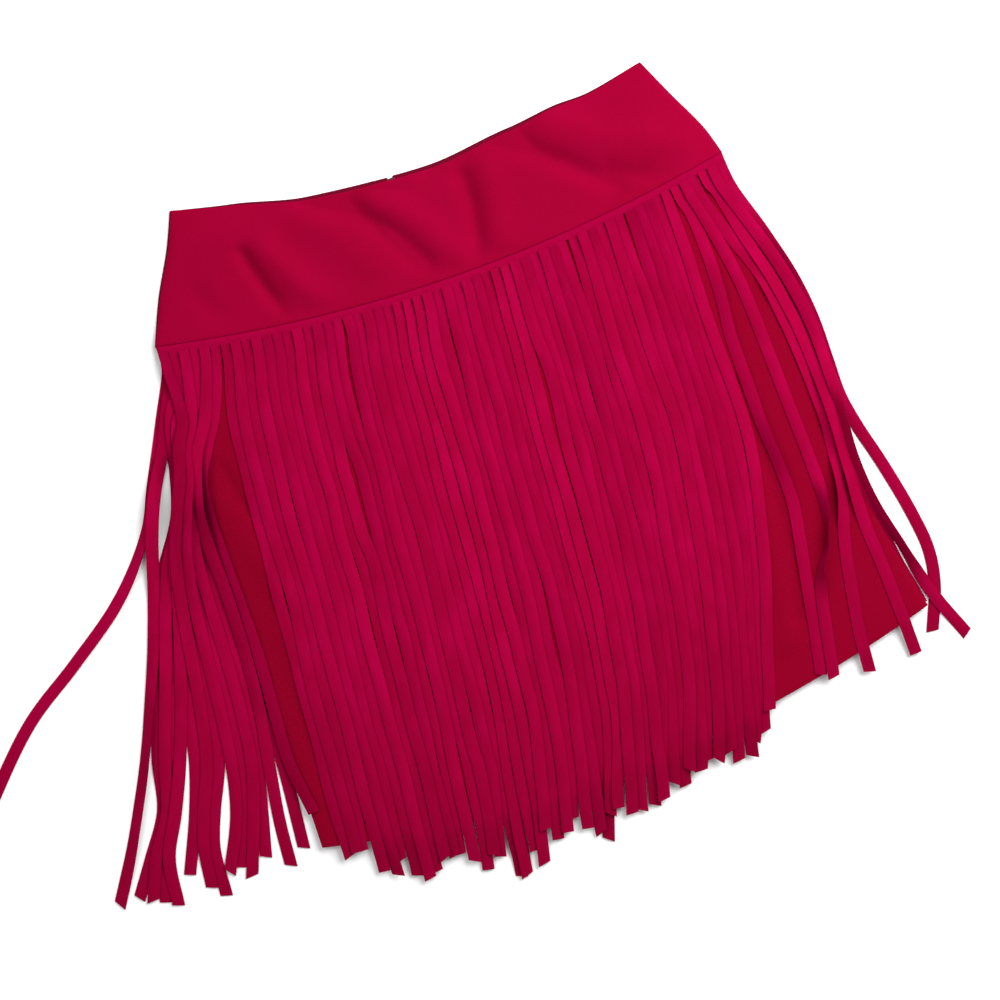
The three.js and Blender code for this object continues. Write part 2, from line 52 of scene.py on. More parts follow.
# Cloth: how thick it is, the air between layers, and how far its cut edges are rounded
CLOTH = 0.9
STRAND_THICK = 0.6
AIR = 0.12
SOFT_EDGE = 0.22

# Degrees above which edges are rounded and below which they look smooth; tilt of the edge and flat faces,
# which sets where the darker edge colour and painted shade go
SOFT_EDGE_ABOVE = 60
SMOOTH_BELOW = 42
CUT_BELOW = 0.45
FLAT_ABOVE = 0.7

# How high the layers lie
LAYER = 1.3
BACK_ON_FRINGE = 2.9
BACK_RISE_FROM = 4.0
BACK_RISE_OVER = 20.0
FRONT_ROOM = 1.7
DEEPEST_FOLD = -1.4
FOLDS_GROW_OVER = 30.0

# The panels' cross lines from the waist down, and how far the middle of each hangs below its ends
SECTIONS = [
    {"left": (-159, 262.6), "right": (195.7, 250.7), "bow": 22},  # waist
    {"left": (-170.5, 236.8), "right": (208.6, 222.5), "bow": 22},  # high hip
    {"left": (-187.7, 205.5), "right": (223.5, 191.2), "bow": 22},  # low hip
    {"left": (-202, 173), "right": (229.5, 169.3), "bow": 22},  # seam
    {"left": (-209, -207), "right": (260.4, -187.7), "bow": 30},  # hem
]
SEAM = 3
HEM = 4
SKIRT_LENGTH = 369.0
ZIP_AT = 0.4426
ZIP_SLIT = 0.001
SIDE_ROLL = 42.0
SIDE_TURN = 5.0
SIDE_TURN_SHARE = 0.3
YOKE_PUFF = 4.0
PUFF_GROWS_OVER = 0.35
ZIP_ROOM = {"height": 1.6, "half": 12, "ease": 12}
SLIDER_ROOM = {"height": 2.8, "half": 14, "ease": 18, "middle": 9}
SEAM_SHARE = 0.28
FOLDED_EDGE = {"share": 0.03, "gap": 0.25}
WAIST_SHOWING = 3.0
SIDE_SHOWING = 1.1
RIGHT_EDGE_BOW = 12.0
NOTCH_HALF_WIDTH = 2.2
NOTCH_LEVEL = 0.33
ZIP_HALF_GAP = 0.15
EDGE_SHARE = 0.1
WAIST_TURN = {"depth": 0.4, "share": 0.03}
SEAM_SHIFT = {"by": 0.1, "from": 0.9, "over": 0.1}

# The zip: the levels where its tape and teeth start and end, and their form
TAPE_TOP = 0.46
TAPE_BOTTOM = 3.28
TAPE_WIDTH = 20.0
TAPE_THICK = 0.8
TAPE_RISE_FROM = 2.8
TAPE_RISE_OVER = 0.15
COIL = {"height": 0.5, "half": 1.2, "ease": 0.6}
SLIDER_DOWN = 1.5
TEETH = 151
FIRST_TOOTH = 0.5
LAST_TOOTH = 3.24
TOOTH_ASIDE = 0.55
TOOTH_SUNK = 0.15

# How far the waist edge strays from an even bow, from the left side to the right
WAIST_STRAY = [(0, 0), (0.12, -0.6), (0.27, -5), (0.52, -5.6), (0.7, -0.5), (0.8, 1), (0.88, -1.5), (1, 0)]

# Folds of the yoke: the line that each follows, its half width, and its height or depth
YOKE_FOLDS = {
    "left faint dent": {"line": [(-163, 200), (-148, 167)], "half": 9, "height": -1.6},
    "left dent": {"line": [(-121, 216), (-115, 191), (-106, 162)], "half": 5, "height": -3.8},
    "swell beside the dent": {"line": [(-104, 212), (-94, 190), (-82, 166)], "half": 11, "height": 3.8},
    "swell before the trough": {"line": [(-80, 236), (-56, 208), (-36, 176)], "half": 12, "height": 1.6},
    "long trough": {"line": [(-62, 240), (-33, 216), (-14, 190), (0, 164)], "half": 8, "height": -4.2},
    "centre swell": {"line": [(-18, 222), (10, 190), (22, 164)], "half": 12, "height": 3.0},
    "centre trough": {"line": [(47, 215), (47, 196), (40, 158)], "half": 7, "height": -3.4},
    "centre right swell": {"line": [(66, 216), (64, 190), (58, 160)], "half": 12, "height": 2.8},
    "right trough": {"line": [(86, 230), (111, 207), (134, 186), (150, 170)], "half": 8, "height": -3.8},
    "right swell": {"line": [(118, 232), (150, 208), (206, 186)], "half": 14, "height": 3.2},
    "right low trough": {"line": [(150, 184), (172, 170), (196, 158)], "half": 7, "height": -2.2},
}

# Creases of the bare skirt that shows beside the fringe
SKIRT_FOLDS = {
    "left crease": {"line": [(-186, 74), (-183, 53), (-169, 25), (-151, 4)], "half": 4.5, "height": -1.9},
    "left swell": {"line": [(-198, 50), (-188, 20), (-176, -20)], "half": 9, "height": 1.3},
    "left low crease": {"line": [(-196, -60), (-190, -170)], "half": 6, "height": -1.0},
    "right crease": {"line": [(184, 10), (184, -60), (179, -120), (168, -165)], "half": 5, "height": -2.0},
    "right swell": {"line": [(178, -60), (170, -120), (156, -180)], "half": 8, "height": 1.5},
    "first trough under the fringe": {
        "line": [(-84, 120), (-100, 20), (-118, -60)], "half": 14, "height": -1.4},
    "first swell": {"line": [(-50, 120), (-62, 0), (-82, -130)], "half": 18, "height": 1.4},
    "second trough": {"line": [(-4, 110), (-14, 0), (-26, -150)], "half": 14, "height": -1.3},
    "second swell": {"line": [(30, 130), (26, 20), (12, -120)], "half": 17, "height": 1.4},
    "third trough": {"line": [(74, 120), (68, 0), (56, -140)], "half": 13, "height": -1.4},
    "third swell": {"line": [(112, 120), (110, 0), (98, -130)], "half": 16, "height": 1.3},
    "fourth trough": {"line": [(150, 130), (148, 20), (140, -110)], "half": 11, "height": -1.2},
}

# Fringe
STRIP_DEPTH = 5.0
STRIP_OVERLAP = 0.6
STRIP_COLUMNS = 150
SEAM_TUCK = 0.8
SEAM_GROOVE = 0.7
SEAM_EASE = 2.6
STRAND_WIDTH = 8.8
SLIT = 0.12
FULL_WIDTH_AT = 60.0
LEAD = 12.0
STATION = 4.0
HIDDEN_STATION = 9.0
BLANK_LENGTH = 400.0
STEEPEST = 0.16
MOST_TILT = 1.7
CUPPING = 0.8
ROOT_FALL = 30.0
BED_SAMPLE = 0.7
WAVE_POINTS = 12.0
WAVE_HEIGHT = 0.8
WAVE_TURN = 6.28
WAVES = [(150, 260, WAVE_HEIGHT), (60, 110, WAVE_HEIGHT * 0.4)]  # shortest, longest, height
SWAY_FROM = 15
SWAY_OVER = 90
PARTING_REACH = 14.0
PARTING_EASE = 25.0
END_SLANT = 2.4
SLANT_FROM = 0.9
SLANT_OVER = 0.1
ROOT_LEAN = 0.6
LEAST_REACH = 0.8
REACH_BEYOND = 0.4
TIP_ASIDE = 2.4
TIP_STEPS = (-5, -2, 0, 3, 8, 13)
TIP_STRAY = 2
BACK_TIP_STRAY = 5

# Ends of the middle strands as they hang, from left to right
TIP_LINE = [
    (-198, -216), (-188, -226), (-177, -235), (-162, -240), (-152, -249), (-135, -255), (-112, -250),
    (-100, -259), (-91, -269), (-73, -273), (-49, -258), (-25, -259), (-10, -266), (16, -259), (35, -261),
    (45, -253), (59, -255), (75, -242), (86, -233), (100, -253), (109, -243), (127, -230),
]

# Places where two neighbouring strands part, and how wide. Below 0 they are drawn together.
PARTINGS = [
    {"line": [(-74, 128), (-80, 89)], "wide": 3.2},
    {"line": [(-95, 41), (-101, 0)], "wide": 5.4},
    {"line": [(-117, 3), (-120, -22)], "wide": 2.2},
    {"line": [(3, 103), (3, 86)], "wide": 2.2},
    {"line": [(103, 144), (105, 117)], "wide": 2.0},
    {"line": [(152, 140), (149, 115)], "wide": 2.2},
    {"line": [(54, 65), (51, 5), (41, -98), (35, -163)], "wide": 3.0},
    {"line": [(48, -161), (25, -239)], "wide": 1.4},
    {"line": [(2, -66), (-6, -126)], "wide": 2.4},
    {"line": [(6, -193), (-11, -254)], "wide": 1.4},
    {"line": [(-78, -192), (-81, -240)], "wide": -4.0},
]

# Strands with a course of their own. Over gives which of them lies on which, and turned how far a strand is
# rolled over, in degrees, at shares of its length.
LEFT_FRONT = [
    {"tip": (-294, -208), "over": 1.8, "way": [
        (-201, 116), (-210, 97), (-215, 79), (-226, 55), (-238, 26), (-246, -8), (-253, -50), (-260, -90),
        (-268, -123), (-281, -154), (-290, -180)]},
    {"tip": (-286, -217), "over": 1.5, "way": [
        (-198, 115), (-208, 95), (-212, 78), (-222, 54), (-234, 25), (-240, -8), (-247, -50), (-253, -90),
        (-260, -126), (-274, -157), (-283, -182)]},
    {"tip": (-278, -202), "over": 1.7, "way": [
        (-195, 114), (-206, 95), (-210, 77), (-219, 54), (-230, 25), (-237, -9), (-242, -52), (-246, -92),
        (-251, -128), (-260, -164)]},
    {"tip": (-264, -210), "over": 1.4, "way": [
        (-191, 113), (-203, 94), (-208, 75), (-216, 53), (-224, 25), (-227, -10), (-229, -55), (-232, -97),
        (-238, -137), (-249, -171)]},
    {"tip": (-235, -212), "over": 1.6, "turned": [(0.24, 0), (0.32, 35), (0.42, 0)], "way": [
        (-186, 111), (-198, 92), (-205, 74), (-210, 52), (-213, 24), (-213, -12), (-215, -59), (-219, -100),
        (-226, -141), (-232, -178)]},
]
SKIRT_EDGE_STRAND = {
    "tip": (-206, -181), "over": 1.3, "turned": [(0.2, 0), (0.28, 40), (0.4, 10), (0.7, 0)], "way": [
        (-178, 113), (-191, 92), (-200, 73), (-205, 50), (-206, 22), (-206, -14), (-206, -59), (-209, -104),
        (-211, -140), (-209, -160)]}
RIGHT_FRONT = [
    {"tip": (171, -209), "over": 1.5, "turned": [(0.12, 0), (0.24, 24), (0.4, 12), (0.56, 34), (0.7, 0)],
     "way": [
        (193, 135), (195, 104), (194, 74), (191, 42), (191, 7), (191, -26), (193, -60), (193, -88),
        (189, -112), (184, -140), (177, -180)]},
    # the one that turns over near its end
    {"tip": (179, -214), "over": 1.8, "turned": [(0.6, 0), (0.67, 50), (0.73, 88), (0.78, 70), (0.86, 0)],
     "way": [
        (199, 140), (205, 112), (210, 80), (212, 48), (213, 14), (214, -22), (215, -52), (215, -84),
        (211, -108), (206, -123), (196, -137), (190, -157), (184, -187)]},
    {"tip": (205, -219), "over": 1.4, "turned": [(0.44, 0), (0.52, 30), (0.66, -36), (0.74, 0)], "way": [
        (205, 142), (214, 112), (226, 77), (231, 44), (234, 8), (235, -34), (232, -70), (226, -100),
        (218, -128), (212, -160), (207, -191)]},
    {"tip": (241, -218), "over": 1.6, "turned": [(0.34, 0), (0.44, 26), (0.56, 0)], "way": [
        (215, 146), (223, 112), (233, 72), (239, 36), (241, -2), (241, -40), (239, -77), (237, -114),
        (239, -152), (240, -185)]},
    # crosses the outer one
    {"tip": (281, -217), "over": 1.9, "turned": [(0.42, 0), (0.52, 58), (0.8, 54), (0.9, 0)], "way": [
        (221, 144), (233, 108), (243, 72), (249, 34), (249, -6), (247, -42), (246, -79), (249, -105),
        (257, -139), (266, -178)]},
    {"tip": (258, -207), "over": 1.7, "turned": [(0.08, 0), (0.2, 34), (0.36, 16), (0.5, 0)], "way": [
        (228, 142), (239, 106), (248, 70), (252, 36), (252, 3), (252, -24), (256, -48), (264, -80),
        (272, -120), (275, -150), (271, -175)]},
]
LEFT_BACK = [
    # flung out to the left
    {"tip": (-450, -126), "turned": [(0.2, 0), (0.32, 40), (0.5, 10), (0.8, 0)], "way": [
        (-204, 146), (-213, 128), (-224, 106), (-238, 79), (-252, 52), (-272, 26), (-295, 4), (-335, -24),
        (-380, -54)]},
    # curves out alone
    {"tip": (-361, -198), "turned": [(0.5, 0), (0.7, 35), (0.86, 30), (1.0, 0)], "way": [
        (-202, 144), (-211, 125), (-222, 102), (-237, 75), (-250, 44), (-264, 3), (-279, -38), (-295, -75),
        (-310, -108), (-325, -137), (-341, -166)]},
    {"tip": (-346, -198), "way": [
        (-206, 132), (-214, 109), (-219, 84), (-229, 53), (-250, 20), (-264, -9), (-277, -43), (-290, -77),
        (-301, -111), (-309, -144), (-329, -174)]},
    {"tip": (-337, -203), "way": [
        (-205, 128), (-213, 106), (-218, 81), (-227, 52), (-246, 22), (-258, -7), (-270, -41), (-284, -78),
        (-296, -112), (-306, -145), (-325, -175)]},
    {"tip": (-329, -207), "way": [
        (-205, 122), (-212, 101), (-217, 78), (-226, 52), (-242, 24), (-251, -2), (-265, -43), (-279, -80),
        (-293, -114), (-304, -148), (-322, -178)]},
    {"tip": (-321, -212), "way": [
        (-203, 119), (-211, 98), (-216, 78), (-225, 54), (-239, 26), (-247, -3), (-260, -44), (-273, -82),
        (-286, -116), (-301, -149), (-316, -178)]},
    {"tip": (-306, -194), "way": [
        (-202, 118), (-210, 98), (-215, 79), (-225, 56), (-240, 28), (-249, -4), (-259, -45), (-268, -85),
        (-276, -120), (-288, -154)]},
    # under the left side's front strands
    {"tip": (-270, -201), "way": [
        (-193, 114), (-205, 94), (-210, 75), (-219, 51), (-228, 20), (-233, -12), (-236, -53), (-239, -94),
        (-245, -134), (-256, -169)]},
    {"tip": (-250, -200), "way": [
        (-192, 110), (-204, 88), (-210, 66), (-217, 36), (-220, -4), (-222, -50), (-227, -100),
        (-237, -150)]},
    {"tip": (-222, -203), "way": [
        (-188, 104), (-199, 82), (-206, 52), (-210, 16), (-211, -30), (-213, -90), (-217, -150)]},
]
RIGHT_BACK_SHOWING = {"tip": (257, -184), "way": [
    (229, 113), (238, 70), (244, 20), (245, -30), (245, -85), (250, -146)]}

# Locks whose strands lie evenly between the first and the last
MIDDLE_LEFT = {
    "count": 29,
    "first": [(-165, 107), (-173, 40), (-178, -34), (-186, -116), (-190, -170)], "first_tip": -193,
    "last": [(52, 107), (48, 40), (43, -34), (35, -116), (25, -182)], "last_tip": 3,
}
MIDDLE_RIGHT = {
    "count": 17,
    "first": [(60, 107), (57, 46), (52, -10), (47, -66), (41, -120), (32, -178)], "first_tip": 10,
    "last": [(181, 107), (180, 46), (180, -10), (172, -66), (160, -120), (144, -170)], "last_tip": 126,
}
BACK_LEFT = {
    "count": 16,
    "first": [(-150, 20)], "first_tip": (-160, -210),
    "last": [(-15, -40)], "last_tip": (-12, -238),
}
BACK_RIGHT = {
    "count": 31,
    "first": [(0, -40)], "first_tip": (4, -238),
    "last": [(225, -20)], "last_tip": (234, -176),
}

chance = random.Random(7)


def mix(a, b, t):
    return a + (b - a) * t


def ease(t):
    t = min(max(t, 0.0), 1.0)
    return t * t * (3 - 2 * t)


def through(values, t):
    """A smooth value between the named ones, which it passes through"""
    row = min(int(t), len(values) - 2)
    t -= row
    before = values[max(row - 1, 0)]
    here = values[row]
    after = values[row + 1]
    beyond = values[min(row + 2, len(values) - 1)]
    bend = 2 * before - 5 * here + 4 * after - beyond
    turn = 3 * here - before - 3 * after + beyond
    return 0.5 * (2 * here + (after - before) * t + bend * t * t + turn * t ** 3)


def between(pairs, t):
    """The value at t of a row of (place, value) pairs, eased from one to the next"""
    if t <= pairs[0][0]:
        return pairs[0][1]
    for (t0, v0), (t1, v1) in zip(pairs, pairs[1:]):
        if t <= t1:
            return mix(v0, v1, ease((t - t0) / (t1 - t0)))
    return pairs[-1][1]


# The skirt's form


def panel_point(level, across, bow_change=0.0):
    """Where a point of the laid panels is, how far from the side it lies and how far below the hip seam"""
    if level <= SEAM:
        rows = SECTIONS[: SEAM + 1]
        left, right = (
            [through([row[side][k] for row in rows], level) for k in (0, 1)] for side in ("left", "right")
        )
        bow = through([row["bow"] for row in rows], level)
    else:
        t = level - SEAM
        seam, hem = SECTIONS[SEAM], SECTIONS[HEM]
        left, right = ([mix(seam[side][k], hem[side][k], t) for k in (0, 1)] for side in ("left", "right"))
        right[0] -= 4 * RIGHT_EDGE_BOW * t * (1 - t)
        bow = mix(seam["bow"], hem["bow"], t)
    x = mix(left[0], right[0], across)
    y = mix(left[1], right[1], across) - 4 * (bow + bow_change) * across * (1 - across)
    y += between(WAIST_STRAY, across) * ease(1 - level)
    side = min(across, 1 - across) * (right[0] - left[0])
    return x, y, side, (level - SEAM) * SKIRT_LENGTH


def side_rise(side):
    """How much the front stands off the back: it turns up at the side seam, then rises slowly"""
    turned = math.sqrt(1 - (1 - min(side / SIDE_TURN, 1)) ** 2)
    rolled = math.sin(min(side / SIDE_ROLL, 1) * math.pi / 2)
    return mix(rolled, turned, SIDE_TURN_SHARE)


def distance_to(x, y, a, b):
    """How far a point is from the straight line between a and b"""
    run = (b[0] - a[0], b[1] - a[1])
    t = ((x - a[0]) * run[0] + (y - a[1]) * run[1]) / (run[0] ** 2 + run[1] ** 2)
    t = min(max(t, 0.0), 1.0)
    return math.hypot(x - a[0] - t * run[0], y - a[1] - t * run[1])


def fold_height(folds, x, y):
    height = 0.0
    for fold in folds.values():
        nearest = min(distance_to(x, y, a, b) for a, b in zip(fold["line"], fold["line"][1:]))
        height += fold["height"] * math.exp(-((nearest / fold["half"]) ** 2))
    return height


def back_skirt_under(drop):
    return mix(LAYER, BACK_ON_FRINGE, ease((drop - BACK_RISE_FROM) / BACK_RISE_OVER))


def front_skirt_under(x, y, side, drop):
    rise = side_rise(side)
    folds = fold_height(SKIRT_FOLDS, x, y) * rise * ease(drop / FOLDS_GROW_OVER)
    return back_skirt_under(drop) + LAYER + FRONT_ROOM * rise + max(folds, DEEPEST_FOLD)


def room(around, distance):
    """How much something near is lifted: all of it inside the half width, then less and less"""
    return around["height"] * ease(1 - (distance - around["half"]) / around["ease"])


def front_yoke_under(x, y, side, level):
    down = level / SEAM
    puff = YOKE_PUFF * ease(down / PUFF_GROWS_OVER)
    zip_x = panel_point(level, ZIP_AT)[0]
    top_x, top_y = panel_point(0, ZIP_AT)[:2]
    from_slider = math.hypot(x - top_x, y - top_y + SLIDER_ROOM["middle"])
    clear = max(room(ZIP_ROOM, abs(x - zip_x)), room(SLIDER_ROOM, from_slider))
    free = LAYER + max(side_rise(side) * (puff + fold_height(YOKE_FOLDS, x, y)), clear)
    at_seam = front_skirt_under(x, y, side, 0) + CLOTH + AIR + SEAM_GROOVE
    under = mix(free, at_seam, ease(1 - (1 - down) / SEAM_SHARE))
    return under - (SEAM_GROOVE - FOLDED_EDGE["gap"]) * ease(1 - (1 - down) / FOLDED_EDGE["share"])


def point_at(x, y, z):
    return ((ORIGIN_X + x) * MM, (ORIGIN_Y + y) * MM, z * MM)


# Making and finishing


def deselect():
    bpy.ops.object.select_all(action="DESELECT")


def work_on(piece):
    deselect()
    piece.select_set(True)
    bpy.context.view_layer.objects.active = piece


def apply_modifier(piece, kind, **settings):
    work_on(piece)
    modifier = piece.modifiers.new(kind.lower(), kind)
    for name, value in settings.items():
        setattr(modifier, name, value)
    bpy.ops.object.modifier_apply(modifier=modifier.name)


def smooth_shaded(piece):
    work_on(piece)
    bpy.ops.object.shade_smooth_by_angle(angle=math.radians(SMOOTH_BELOW))


def joined(name, parts):
    deselect()
    for part in parts:
        part.select_set(True)
    bpy.context.view_layer.objects.active = parts[0]
    bpy.ops.object.join()
    piece = bpy.context.object
    piece.name = name
    piece.data.name = name
    return piece


def mark_faces(piece, name, value_of):
    values = [value_of(face) for face in piece.data.polygons]
    piece.data.attributes.new(name, "FLOAT", "FACE").data.foreach_set("value", values)


def mark_points(piece, name, value):
    points = piece.data.attributes.new(name, "FLOAT", "POINT")
    points.data.foreach_set("value", [value] * len(piece.data.vertices))


def cloth_panel(name, columns, rows, shape, thickness=CLOTH, tone_and_shade=0.7, inside=0.0):
    """A grid shaped point by point to the top of the cloth, then given its thickness and soft edges"""
    deselect()
    bpy.ops.mesh.primitive_grid_add(x_subdivisions=columns, y_subdivisions=rows, size=1)
    piece = bpy.context.object
    piece.name = name
    piece.data.name = name
    for vertex in piece.data.vertices:
        vertex.co = point_at(*shape(vertex.co.x + 0.5, 0.5 - vertex.co.y))
    apply_modifier(piece, "SOLIDIFY", thickness=thickness * MM, offset=-1)
    edges = {"limit_method": "ANGLE", "angle_limit": math.radians(SOFT_EDGE_ABOVE)}
    apply_modifier(piece, "BEVEL", width=SOFT_EDGE * MM, segments=2, **edges)
    smooth_shaded(piece)
    # Painted shade: the steep edge faces are darkened for the shade on the cloth's thickness, and the upward
    # faces by inside, for the back's inner side in shade at the waist.
    mark_faces(
        piece, "cut", lambda face: 1.0 if abs(face.normal.z) < CUT_BELOW else inside * (face.normal.z > 0))
    mark_points(piece, "tone_and_shade", tone_and_shade)
    return piece


# Materials


def linear(*colour):
    """The shader's colour for one given in steps from 0 to 255, as on a screen"""
    shares = [step / 255 for step in colour]
    return tuple(((c + 0.055) / 1.055) ** 2.4 if c > 0.04 else c / 12.92 for c in shares) + (1.0,)


class Finish:
    """A material put together node by node, from left to right"""

    def __init__(self, name, roughness, metallic=0.0):
        self.material = bpy.data.materials.new(name)
        self.material.use_nodes = True
        self.nodes = self.material.node_tree.nodes
        self.links = self.material.node_tree.links
        self.shader = self.nodes["Principled BSDF"]
        self.shader.inputs["Roughness"].default_value = roughness
        self.shader.inputs["Metallic"].default_value = metallic

    def node(self, kind, **settings):
        made = self.nodes.new(kind)
        for name, value in settings.items():
            setattr(made, name, value)
        return made

    def stretched(self, place, stretch):
        mapping = self.node("ShaderNodeMapping")
        mapping.inputs["Scale"].default_value = stretch
        self.links.new(place, mapping.inputs["Vector"])
        return mapping.outputs["Vector"]

    def object_place(self, stretch=(1, 1, 1)):
        return self.stretched(self.node("ShaderNodeTexCoord").outputs["Object"], stretch)

    def uv_place(self, stretch):
        return self.stretched(self.node("ShaderNodeUVMap", uv_map="UVMap").outputs["UV"], stretch)

    def noise(self, place, scale, detail=3.0, roughness=0.55):
        noise = self.node("ShaderNodeTexNoise")
        noise.inputs["Scale"].default_value = scale
        noise.inputs["Detail"].default_value = detail
        noise.inputs["Roughness"].default_value = roughness
        self.links.new(place, noise.inputs["Vector"])
        return noise.outputs["Fac"]

    def attribute(self, name):
        return self.node("ShaderNodeAttribute", attribute_name=name).outputs["Fac"]

    def along(self):
        """Metres down from a strand's root, as a falling number"""
        place = self.node("ShaderNodeUVMap", uv_map="UVMap")
        parts = self.node("ShaderNodeSeparateXYZ")
        self.links.new(place.outputs["UV"], parts.inputs["Vector"])
        return parts.outputs["Y"]

    def spread(self, value, low, high, to_low=0.0, to_high=1.0):
        spread = self.node("ShaderNodeMapRange")
        numbers = {"From Min": low, "From Max": high, "To Min": to_low, "To Max": to_high}
        for socket, number in numbers.items():
            spread.inputs[socket].default_value = number
        self.links.new(value, spread.inputs["Value"])
        return spread.outputs["Result"]

    def blend(self, share, first, second):
        blend = self.node("ShaderNodeMix", data_type="RGBA")
        for socket, value in ((0, share), (6, first), (7, second)):
            if isinstance(value, (int, float, tuple)):
                blend.inputs[socket].default_value = value
            else:
                self.links.new(value, blend.inputs[socket])
        return blend.outputs[2]

    def colour(self, value):
        self.links.new(value, self.shader.inputs["Base Color"])

    def bumps(self, heights):
        """Raises the surface by rows of (height, strength, distance in millimetres)"""
        before = None
        for height, strength, distance in heights:
            bump = self.node("ShaderNodeBump")
            bump.inputs["Strength"].default_value = strength
            bump.inputs["Distance"].default_value = distance * MM
            self.links.new(height, bump.inputs["Height"])
            if before:
                self.links.new(before, bump.inputs["Normal"])
            before = bump.outputs["Normal"]
        self.links.new(before, self.shader.inputs["Normal"])

    def nap(self, weight, roughness, tint):
        self.shader.inputs["Sheen Weight"].default_value = weight
        self.shader.inputs["Sheen Roughness"].default_value = roughness
        self.shader.inputs["Sheen Tint"].default_value = tint
        self.shader.inputs["Specular IOR Level"].default_value = 0.02


def crepe_cloth():
    """Matte crepe of the yoke and the lower skirt: a fine pebbled weave under a short nap, with painted shade
    on the edges, the back's inner face and the bare lower front
    """
    finish = Finish("crimson_crepe", roughness=0.86)
    place = finish.object_place()
    thread = finish.noise(place, 1500, 2)
    weft = finish.noise(finish.object_place((260, 1400, 260)), 1, 2)
    warp = finish.noise(finish.object_place((1400, 260, 260)), 1, 2)
    cloud = finish.noise(place, 16, 4)
    deep, plain, light = linear(118, 0, 22), linear(146, 0, 46), linear(156, 0, 55)
    # Painted shade: the point attribute darkens the bare lower front towards deep, for the shade it lies in
    # beside and under the fringe; the other panels keep their own tone.
    ground = finish.blend(finish.attribute("tone_and_shade"), deep, plain)
    ground = finish.blend(finish.spread(cloud, 0.36, 0.64, 0.25, 0.0), ground, deep)
    ground = finish.blend(finish.spread(thread, 0.4, 0.72, 0.0, 0.4), ground, light)
    # Painted shade: edge faces and the back yoke's inner face are darkened towards a dark maroon, for the
    # shade on the cloth's thickness and on the inner side at the waist.
    ground = finish.blend(finish.attribute("cut"), ground, linear(72, 12, 30))
    finish.colour(ground)
    finish.bumps([(weft, 0.25, 0.12), (warp, 0.25, 0.12), (thread, 0.3, 0.1), (cloud, 0.5, 0.5)])
    finish.nap(0.08, 0.45, linear(255, 10, 90))
    return finish.material


def suede_strand():
    """Brushed cloth of the fringe: nap streaks along each strand, painted shade towards the strands' ends,
    and darker edges, partly their own colour and partly painted shade
    """
    finish = Finish("crimson_fringe", roughness=0.88)
    place = finish.object_place()
    fibre = finish.noise(place, 1700, 3)
    streak = finish.noise(finish.uv_place((900, 60, 1)), 1, 3)
    cloud = finish.noise(finish.uv_place((60, 22, 1)), 1, 3)
    deep, plain, light = linear(126, 0, 38), linear(148, 0, 50), linear(166, 0, 63)
    ground = finish.blend(finish.attribute("tone_and_shade"), deep, plain)
    ground = finish.blend(finish.spread(cloud, 0.42, 0.7, 0.0, 0.55), ground, light)
    ground = finish.blend(finish.spread(streak, 0.38, 0.62, 0.0, 0.3), ground, deep)
    ground = finish.blend(finish.spread(fibre, 0.45, 0.75, 0.0, 0.35), ground, light)
    # Painted shade: each strand darkens towards its end, where the light falls off towards the hem.
    ground = finish.blend(finish.spread(finish.along(), -0.24, -0.4, 0.0, 0.5), ground, linear(118, 0, 34))
    # Edges and undersides darker: partly the cloth's own edge colour, partly painted shade for the slits
    # between strands.
    ground = finish.blend(finish.attribute("cut"), ground, linear(106, 0, 36))
    finish.colour(ground)
    finish.bumps([(streak, 0.3, 0.15), (fibre, 0.35, 0.12), (cloud, 0.4, 0.4)])
    finish.nap(0.1, 0.45, linear(255, 10, 100))
    return finish.material


def zip_webbing():
    finish = Finish("zip_webbing", roughness=0.75)
    weave = finish.noise(finish.object_place((900, 2600, 900)), 1, 2)
    cloud = finish.noise(finish.object_place(), 60, 3)
    ground = finish.blend(finish.spread(cloud, 0.35, 0.65), linear(120, 4, 40), linear(150, 8, 54))
    finish.colour(finish.blend(finish.spread(weave, 0.4, 0.7, 0.0, 0.4), ground, linear(90, 4, 32)))
    finish.bumps([(weave, 0.4, 0.12)])
    return finish.material


def painted_metal():
    finish = Finish("painted_metal", roughness=0.42, metallic=0.55)
    wear = finish.noise(finish.object_place(), 500, 4)
    finish.colour(finish.blend(finish.spread(wear, 0.45, 0.72), linear(70, 10, 30), linear(120, 24, 52)))
    finish.bumps([(wear, 0.2, 0.05)])
    return finish.material


def pale_floor():
    finish = Finish("pale_floor", roughness=0.9)
    cloud = finish.noise(finish.object_place(), 3, 2)
    finish.colour(finish.blend(finish.spread(cloud, 0.3, 0.7), linear(246, 246, 246), linear(249, 249, 249)))
    return finish.material


CREPE = crepe_cloth()
FRINGE = suede_strand()


def dress(piece, material, slot, *nodes):
    piece.data.materials.clear()
    piece.data.materials.append(material)
    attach(piece, "root")
    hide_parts(*nodes)


# The fringe, strand by strand


class Bed:
    """The tops of all that is laid so far, on a grid of one-millimetre cells"""

    LEFT = -480
    BOTTOM = -300
    COLUMNS = 800
    ROWS = 600
    PANEL_COLUMNS = 900
    PANEL_ROWS = 700

    def __init__(self):
        self.tops = [0.0] * (self.COLUMNS * self.ROWS)

    def cell(self, x, y):
        return round(y - self.BOTTOM) * self.COLUMNS + round(x - self.LEFT)

    def top(self, x, y):
        return self.tops[self.cell(x, y)]

    def cover(self, x, y, z):
        cell = self.cell(x, y)
        if z > self.tops[cell]:
            self.tops[cell] = z

    def cover_with_panel(self, top_of, first_level, last_level):
        rows = round((last_level - first_level) * self.PANEL_ROWS)
        for j in range(rows + 1):
            level = mix(first_level, last_level, j / rows)
            for i in range(self.PANEL_COLUMNS + 1):
                x, y, side, drop = panel_point(level, i / self.PANEL_COLUMNS)
                self.cover(x, y, top_of(x, y, side, drop))


